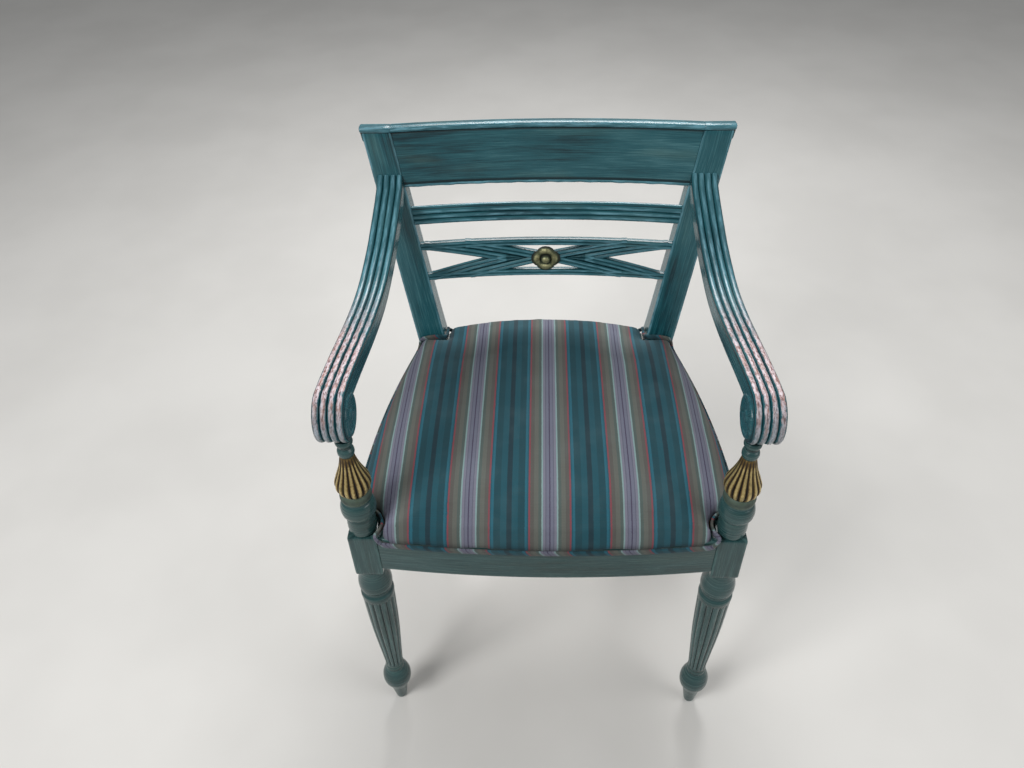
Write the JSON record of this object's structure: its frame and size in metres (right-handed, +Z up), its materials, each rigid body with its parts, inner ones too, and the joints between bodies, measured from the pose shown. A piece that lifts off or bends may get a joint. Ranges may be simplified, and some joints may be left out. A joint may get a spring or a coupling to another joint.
{
  "type": "open elbow chair",
  "caption": "Painted open elbow chair with scrolled reeded arms, turned reeded front legs, swept back legs, a lattice back and a stuffed-over striped seat.",
  "frame": {"origin": "on the floor, under the middle of the chair's bounding box", "axes": "+X to the right when the chair is seen from its front, +Y to its back, +Z up"},
  "size_m": [0.53, 0.5116, 0.8115],
  "materials": {
    "painted_wood": "brushed blue-green paint with a satin glaze, rubbed through on the arms",
    "bare_wood": "unfinished hardwood",
    "gilt": "dull gilt, dark in its recesses",
    "striped_fabric": "woven stripes in teal, taupe, mauve and pale blue",
    "padding": "firm stuffing under lining cloth",
    "hessian": "open plain weave jute",
    "webbing": "coarse jute webbing"
  },
  "bodies": {
    "root": {"front_leg_right": "painted_wood", "front_leg_left": "painted_wood", "arm_support_right": "painted_wood", "arm_support_left": "painted_wood", "back_leg_right": "painted_wood", "back_leg_left": "painted_wood", "arm_right": "painted_wood", "arm_left": "painted_wood", "side_rail_right": "painted_wood", "side_rail_left": "painted_wood", "front_rail": "painted_wood", "back_rail": "painted_wood", "crest_rail": "painted_wood", "reeded_rail": "painted_wood", "lattice_rail": "painted_wood", "corner_block_front_right": "bare_wood", "corner_block_front_left": "bare_wood", "corner_block_back_right": "bare_wood", "corner_block_back_left": "bare_wood", "rosette": "gilt", "seat_pad": "padding", "seat_cover": "striped_fabric", "welt": "striped_fabric", "hessian": "hessian", "webbing_long_1": "webbing", "webbing_long_2": "webbing", "webbing_long_3": "webbing", "webbing_long_4": "webbing", "webbing_cross_1": "webbing", "webbing_cross_2": "webbing", "webbing_cross_3": "webbing"}
  },
  "joints": []
}
